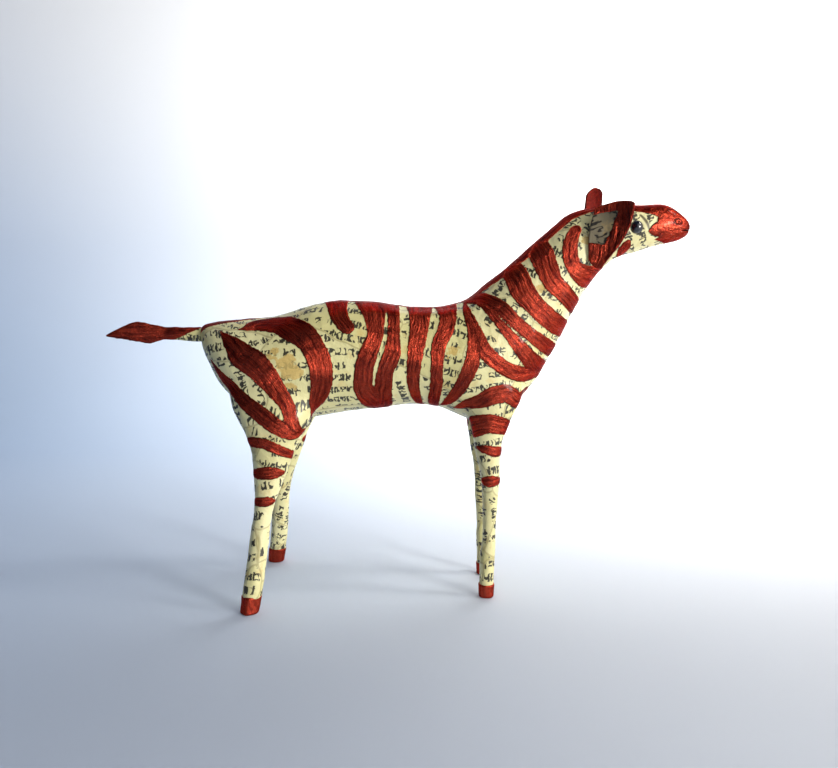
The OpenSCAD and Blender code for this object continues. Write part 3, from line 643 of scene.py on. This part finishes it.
def paint_reach(points, lines):
    """How far each point lies inside the nearest stroke in mm, and its place on that stroke."""
    reach = np.full(len(points), NO_PAINT)
    brush = np.zeros((len(points), 3))
    for number, line in enumerate(lines):
        spots = np.array([tuple(p) for p, w in line])
        widths = np.array([w for p, w in line])
        near = np.where(((points > spots.min(0) - 8) & (points < spots.max(0) + 8)).all(axis=1))[0]
        if len(near) == 0:
            continue
        here = points[near]
        travelled = 0.0
        for a, b, wa, wb in zip(spots[:-1], spots[1:], widths[:-1], widths[1:]):
            step = b - a
            size = np.linalg.norm(step)
            if size < 1e-6 or size > 9:
                continue
            share = np.clip((here - a) @ step / size ** 2, 0, 1)
            off = np.linalg.norm(here - a - share[:, None] * step, axis=1)
            depth = wa + (wb - wa) * share - off
            nearer = depth > reach[near]
            chosen = near[nearer]
            reach[chosen] = depth[nearer]
            side = np.cross(step / size, here - a) @ np.array([0, -1.0, 0.3])
            brush[chosen, 0] = (off * np.sign(side))[nearer]
            brush[chosen, 1] = travelled + (share * size)[nearer]
            brush[chosen, 2] = number * 3.7
            travelled += size
    return reach, brush


# Straight lines that the paper is wrapped round: x, z of both ends in mm
WRAPPED = {"torso_skin": np.array([(-90, 70), (60, 70)]), "neck_skin": np.array([(10, 51), (78, 127)]),
           "head_skin": np.array([(40, 107.5), (110, 111)])}


def widths_along(s, r):
    """Average distance from the middle line, at even places along it."""
    gap = 4.0
    places = [p for p in np.arange(s.min(), s.max() + 2, gap) if (np.abs(s - p) < gap).any()]
    return places, [r[np.abs(s - p) < gap].mean() for p in places]


def unroll(piece, line, is_leg, mirror_y):
    """UV map in mm: along a middle line, and round it, with the seams at the back and belly."""
    data = piece.data
    count = len(data.vertices)
    co = np.zeros(count * 3)
    data.vertices.foreach_get("co", co)
    co = co.reshape(-1, 3) / MM
    if is_leg:
        s, off = along_line(co, line * np.array([1, mirror_y, 1]))
        up, out = off[:, 0], off[:, 1] * (-mirror_y)
    else:
        s, flat = along_line(co[:, [0, 2]], line)
        ahead = (line[1] - line[0]) / np.linalg.norm(line[1] - line[0])
        up, out = flat[:, 1] * ahead[0] - flat[:, 0] * ahead[1], -co[:, 1]
    girth = np.interp(s, *widths_along(s, np.hypot(up, out)))
    layer = data.uv_layers.new(name="paper_mm")
    loops = np.zeros(len(data.loops), np.int32)
    data.loops.foreach_get("vertex_index", loops)
    uv = np.zeros((len(loops), 2))
    for face in data.polygons:
        span = slice(face.loop_start, face.loop_start + face.loop_total)
        ids = loops[span]
        sign = 1.0 if is_leg or out[ids].mean() > 0 else -1.0
        angle = np.arctan2(up[ids], out[ids] * sign)
        angle = np.where(angle - angle[0] > math.pi, angle - 2 * math.pi, angle)
        angle = np.where(angle - angle[0] < -math.pi, angle + 2 * math.pi, angle)
        if is_leg:
            uv[span, 0], uv[span, 1] = angle * girth[ids], s[ids]
        else:
            uv[span, 0], uv[span, 1] = sign * s[ids], angle * girth[ids]
    layer.data.foreach_set("uv", uv.ravel())


def set_attribute(data, name, kind, values):
    layer = data.attributes.new(name, kind, "POINT")
    key = "vector" if kind == "FLOAT_VECTOR" else "value"
    layer.data.foreach_set(key, np.ascontiguousarray(values, dtype=np.float32).ravel())


def ready(piece, material, node):
    """Smooth shading, finish, body and the CAD node that the piece stands for."""
    piece.data.materials.clear()
    piece.data.materials.append(material)
    piece.data.polygons.foreach_set("use_smooth", [True] * len(piece.data.polygons))
    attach(piece, "root")
    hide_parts(node)


def coats(points, surface):
    """What each point of the skin, in mm, carries: paint, brush marks, grooves, paste and varnish."""
    reach, brush = paint_reach(points, stroke_lines(surface))
    px, py, pz = points.T
    height, start = np.array(MUZZLE).T
    muzzle = np.where((px > 62) & (pz > 95), 0.8 * (px - np.interp(pz, height, start)), NO_PAINT)
    on_muzzle = muzzle > reach
    reach = np.maximum(reach, muzzle)
    round_muzzle = np.stack([np.arctan2(pz - 110, np.abs(py)) * 1.6, px, px * 0 + 50], axis=1)
    brush[on_muzzle] = round_muzzle[on_muzzle]
    lips = [[(surface.find_nearest(Vector((x, y * side, z)) * MM)[0] / MM, w) for x, y, z, w in LIPS]
            for side in (1, -1)]
    groove = np.clip(paint_reach(points, lips)[0] / 0.2 + 0.5, 0, 1)
    ring = np.abs(np.hypot((px - NOSTRIL[0]) / 1.15, (pz - NOSTRIL[1]) / 0.8) - 1) * 0.95
    dot = np.hypot(px - NOSTRIL[0] - 0.2, pz - NOSTRIL[1] + 0.1)
    ring = np.clip((0.24 - np.minimum(ring, dot)) / 0.12 + 0.5, 0, 1) * (np.abs(py) > 2) * (px > 79)
    groove = np.maximum(groove, ring * 0.85)
    spots = [(on_trunk(surface, s, turn, left), r) for s, turn, r in PASTE for left in (False, True)]
    paste = np.max([r - np.linalg.norm(points - np.array(p), axis=1) for p, r in spots], axis=0)
    varnish = paint_reach(points, [trunk_line(surface, VARNISH_LINE, left) for left in (False, True)])[0]
    return {"paint": reach, "brush": brush, "groove": groove, "paste": paste, "varnish": varnish}


def cut_apart(skin):
    """Cuts above each leg, at the withers and behind the ears, each only near its own plane."""
    for point, normal, near in ((LEG_TOP, UP, 4), (WITHERS, NECK_WAY, 3), (POLL, HEAD_WAY, 3)):
        faces = [f for f in skin.faces if abs((f.calc_center_median() / MM - point).dot(normal)) < near]
        verts = dict.fromkeys(v for f in faces for v in f.verts)
        edges = dict.fromkeys(e for f in faces for e in f.edges)
        bmesh.ops.bisect_plane(skin, geom=[*verts, *edges, *faces], plane_co=point * MM, plane_no=normal,
                               dist=1e-7)


def region(p):
    """The CAD node that a place on the skin belongs to."""
    if p.z < LEG_TOP.z:
        return "leg_%s_%s" % ("rear" if p.x < 0 else "front", "left" if p.y > 0 else "right")
    if (p - POLL).dot(HEAD_WAY) > 0 and p.z > 95:
        return "head_skin"
    if (p - WITHERS).dot(NECK_WAY) > 0:
        return "neck_skin"
    return "torso_skin"


def skin_piece(skin, name, kept):
    """The faces of one node as a piece, with the normals of the whole skin, so that no seam shows."""
    part = skin.copy()
    part.faces.ensure_lookup_table()
    bmesh.ops.delete(part, geom=[f for f in part.faces if f.index not in kept], context="FACES")
    piece = object_from("papered_" + name, part)
    data = piece.data
    is_leg = name in LEG_NODES
    line = LEGS[name.split("_")[1]] if is_leg else WRAPPED[name]
    unroll(piece, line, is_leg, -1 if "left" in name else 1)
    ready(piece, leg_paper if is_leg else trunk_paper, name)
    normals = np.zeros(len(data.vertices) * 3, np.float32)
    data.attributes["whole_normal"].data.foreach_get("vector", normals)
    data.normals_split_custom_set_from_vertices(normals.reshape(-1, 3).tolist())
    data.attributes.remove(data.attributes["whole_normal"])


def build_skin():
    skin = whole_skin()
    surface = BVHTree.FromBMesh(skin)
    layers = coats(np.array([v.co for v in skin.verts]) / MM, surface)
    # the paint stands 0.12 mm proud, and a groove is 0.18 mm deep
    for v, depth, cut_in in zip(skin.verts, layers["paint"], layers["groove"]):
        v.co += v.normal * (0.12 * min(max((depth + 0.2) / 0.6, 0), 1) - 0.18 * cut_in) * MM
    for name, values in layers.items():
        kind = skin.verts.layers.float_vector if name == "brush" else skin.verts.layers.float
        layer = kind.new(name)
        for v, value in zip(skin.verts, values):
            v[layer] = value
    cut_apart(skin)
    skin.normal_update()
    whole_normal = skin.verts.layers.float_vector.new("whole_normal")
    for v in skin.verts:
        v[whole_normal] = v.normal
    skin.faces.index_update()
    faces_of = {}
    for f in skin.faces:
        faces_of.setdefault(region(f.calc_center_median() / MM), set()).add(f.index)
    for name, kept in faces_of.items():
        skin_piece(skin, name, kept)
    skin.free()


build_skin()

# ---------------------------------------------------------------- ears


EAR_LENGTH = 19      # mm, along its wall
EAR_FOOT = 3.6       # mm round the gutter at the foot
EAR_SPREAD = 6.4     # mm more round it at the top


def build_ear(side, back, middle, front, foot, foot_half, back_bow, front_bow):
    """A gutter of folded paper: print shows in its hollow, paint covers the rest.

    The top edge runs from back to front and bends towards the middle. The foot is a short line about
    its centre, and each side of the wall bows out between foot and top. Places are in mm."""
    back, middle, front, foot, foot_half, back_bow, front_bow = (
        Vector(p) for p in (back, middle, front, foot, foot_half, back_bow, front_bow))
    mesh = bmesh.new()
    bmesh.ops.create_grid(mesh, x_segments=24, y_segments=28, size=0.5)
    paint = mesh.verts.layers.float.new("paint")
    brush = mesh.verts.layers.float_vector.new("brush")
    clean = [mesh.verts.layers.float.new("paste"), mesh.verts.layers.float.new("varnish")]
    uv = mesh.loops.layers.uv.new("paper_mm")
    spread = {}
    for v in mesh.verts:
        t, u = v.co.x + 0.5, v.co.y + 0.5
        top = back * (1 - t) ** 2 + middle * 2 * t * (1 - t) + front * t * t
        low = foot + foot_half * (2 * t - 1) - Vector((0, 0, 0.7)) * math.sin(math.pi * t)
        p = low.lerp(top, u ** 0.9) + back_bow.lerp(front_bow, t) * math.sin(math.pi * u)
        wave = 0.15 * noise.noise(Vector((t * 4, u * 6, 3)))
        v.co = (p + Vector((wave, wave, wave))) * MM
        wide = EAR_FOOT + EAR_SPREAD * u
        across, up = wide * t, EAR_LENGTH * u
        spread[v] = (across, up)
        sides = across + 0.3, wide * (0.44 + 0.1 * u) - across
        ends = 0.83 * EAR_LENGTH - up, up - 0.3 * EAR_LENGTH
        v[paint] = -min(sides + ends)
        v[brush] = (across, up, 7)
        for layer in clean:
            v[layer] = NO_COAT
    for face in mesh.faces:
        for loop in face.loops:
            loop[uv].uv = spread[loop.vert]
    if side == "left":
        bmesh.ops.reverse_faces(mesh, faces=mesh.faces)
    piece = object_from("ear_%s_folded_paper" % side, mesh)
    wall = piece.modifiers.new("paper", "SOLIDIFY")
    wall.thickness = 0.8 * MM
    wall.offset = 0
    wall.material_offset = 1
    wall.material_offset_rim = 1
    smooth = piece.modifiers.new("soft", "SUBSURF")
    smooth.levels = smooth.render_levels = 1
    ready(piece, ear_paper_painted_shade, "ear_" + side)
    piece.data.materials.append(ear_red_painted_shade)


build_ear("right", (57.8, -7.3, 115.1), (66.6, -9, 118.2), (66.9, -15.4, 115.7), (57.8, -8.4, 98.9),
          (1.7, -0.8, -1.2), (-1, -0.9, 0), (2.1, -0.3, 0))
build_ear("left", (58.3, 7.5, 120.4), (61.4, 9.1, 124.6), (64.3, 13.4, 121.6), (60, 8.6, 103),
          (2.5, 1, 0.3), (-0.3, 0.5, 0), (0.2, 0.3, 0))

# ---------------------------------------------------------------- tail and hooves


def softened(name, node, voxel, rounds, lump):
    """A CAD solid as an even, slightly uneven hand-made surface."""
    mesh = remeshed(name, merged_copy(node), voxel)
    soften(mesh, rounds)
    mesh.normal_update()
    for v in mesh.verts:
        v.co += v.normal * lump * noise.noise(v.co / MM / 2.5) * MM
    return object_from(name, mesh)


def build_tail():
    """The folded strip, painted everywhere but under its root, where the paper shows."""
    tail = softened("tail_folded_strip", "tail", voxel=0.3, rounds=4, lump=0.15)
    co = np.array([v.co for v in tail.data.vertices]) / MM
    bare = 0.9 * np.minimum(76.9 + 0.45 * (co[:, 0] + 65.8) - co[:, 2], co[:, 0] + 66.5)
    set_attribute(tail.data, "paint", "FLOAT", -bare)
    for coat in ("paste", "varnish"):
        set_attribute(tail.data, coat, "FLOAT", np.full(len(co), NO_COAT))
    set_attribute(tail.data, "brush", "FLOAT_VECTOR", np.stack([co[:, 2] * 1.2, co[:, 0], co[:, 1]], axis=1))
    layer = tail.data.uv_layers.new(name="paper_mm")
    for loop in tail.data.loops:
        layer.data[loop.index].uv = (co[loop.vertex_index][0], co[loop.vertex_index][2])
    ready(tail, trunk_paper, "tail")


build_tail()
for end in LEGS:
    for side in SIDES:
        node = "hoof_%s_%s" % (end, side)
        hoof = softened(node + "_painted", node, voxel=0.2, rounds=1, lump=0.1)
        ready(hoof, hoof_red, node)

# ---------------------------------------------------------------- face

EYE = Vector((70.2, 5.75, 109.7))   # mm, the middle of the left one
EYE_RADIUS = 2.0                    # mm
for side, out in zip(SIDES, (-1, 1)):
    mesh = bmesh.new()
    bmesh.ops.create_uvsphere(mesh, u_segments=40, v_segments=24, radius=EYE_RADIUS * MM)
    bmesh.ops.scale(mesh, vec=(1, 1, 0.94), verts=mesh.verts)
    bmesh.ops.bisect_plane(mesh, geom=mesh.verts[:] + mesh.edges[:] + mesh.faces[:], plane_co=(0, 0, 0),
                           plane_no=(0, 0, -1), clear_outer=True)
    bmesh.ops.holes_fill(mesh, edges=[e for e in mesh.edges if e.is_boundary], sides=0)
    bmesh.ops.rotate(mesh, verts=mesh.verts, matrix=Matrix.Rotation(math.radians(90) * -out, 3, "X"))
    bmesh.ops.translate(mesh, verts=mesh.verts, vec=Vector((EYE.x, EYE.y * out, EYE.z)) * MM)
    ready(object_from("eye_%s_bead" % side, mesh), bead, "eye_" + side)

# ---------------------------------------------------------------- hidden pieces

slots = {s["node"]: s["material_slot"] for s in frame["record"]["subparts"]}
for name, slot in slots.items():
    if slot in HIDDEN:
        nodes[name].data.materials.clear()
        nodes[name].data.materials.append(HIDDEN[slot])

# ---------------------------------------------------------------- floor and light


def backdrop():
    """A sheet of pale card: the floor, a wide bend and a wall behind."""
    mesh = bmesh.new()
    front, bend_from, bend, top, half_width = -1.2, 0.2, 0.12, 1.4, 1.6   # metres
    path = [(front, 0), (bend_from, 0)]
    for a in np.linspace(0.08, math.pi / 2, 20):
        path.append((bend_from + bend * math.sin(a), bend - bend * math.cos(a)))
    path.append((bend_from + bend, top))
    verts = [mesh.verts.new((-half_width, y, z)) for y, z in path]
    edges = [mesh.edges.new(pair) for pair in zip(verts, verts[1:])]
    grown = bmesh.ops.extrude_edge_only(mesh, edges=edges)["geom"]
    moved = [g for g in grown if isinstance(g, bmesh.types.BMVert)]
    bmesh.ops.translate(mesh, verts=moved, vec=(2 * half_width, 0, 0))
    bmesh.ops.recalc_face_normals(mesh, faces=mesh.faces)
    sheet = object_from("backdrop", mesh)
    sheet.data.polygons.foreach_set("use_smooth", [True] * len(sheet.data.polygons))
    material, t = new_material("backdrop_card_painted_light")
    place = put(t, "ShaderNodeTexCoord", out="Object")
    # painted shade: bluer and darker to the left and low down; painted light: paler to the right and high up
    share = put(t, V, [place, (2.4, 0.0, 3.6)], operation="DOT_PRODUCT", out="Value")
    share = put(t, "ShaderNodeMapRange", [share, -0.7, 0.7, 0.0, 1.0],
                interpolation_type="SMOOTHSTEP")
    tone = put(t, "ShaderNodeMix", {"Factor": share, 6: linear("#a2b6d2"), 7: linear("#e6e9ee")},
               data_type="RGBA", out=2)
    finish_material(t, Base_Color=tone, Roughness=0.8)
    sheet.data.materials.append(material)


def lamp(name, place, aim, size, power, colour, spread=180):
    """A round soft lamp: places and size in metres, power in watts, spread in degrees."""
    light = bpy.data.lights.new(name, "AREA")
    light.shape = "DISK"
    light.size = size
    light.energy = power
    light.spread = math.radians(spread)
    light.color = linear(colour)[:3]
    shown = bpy.data.objects.new(name, light)
    shown.location = place
    shown.rotation_euler = (Vector(aim) - Vector(place)).to_track_quat("-Z", "Y").to_euler()
    bpy.context.scene.collection.objects.link(shown)


backdrop()
lamp("window", (0.55, -0.48, 0.17), aim=(0, 0, 0.07), size=0.18, power=3.6, colour="#fffaf2")
lamp("wall_wash", (0.42, 0.0, 0.5), aim=(0.2, 0.32, 0.17), size=0.2, power=2.8, colour="#fffaf0", spread=80)
# A dim room that is bright only towards the window
WINDOW_WAY = (0.78, -0.6, 0.12)
WINDOW_LIGHT = (5.0, 4.85, 4.6, 1.0)
ROOM_STRENGTH = 0.42
world = bpy.data.worlds.new("room")
bpy.context.scene.world = world
world.use_nodes = True
sky = world.node_tree
facing = put(sky, V, [put(sky, "ShaderNodeTexCoord", out="Generated"), WINDOW_WAY],
             operation="DOT_PRODUCT", out="Value")
facing = put(sky, "ShaderNodeMapRange", [facing, 0.55, 1.0, 0.0, 1.0],
             interpolation_type="SMOOTHSTEP")
tone = put(sky, "ShaderNodeMix", {"Factor": facing, 6: linear("#656e84"), 7: WINDOW_LIGHT},
           data_type="RGBA", out=2)
sky.links.new(tone, sky.nodes["Background"].inputs[0])
sky.nodes["Background"].inputs[1].default_value = ROOM_STRENGTH
bpy.context.scene.view_settings.view_transform = "Standard"
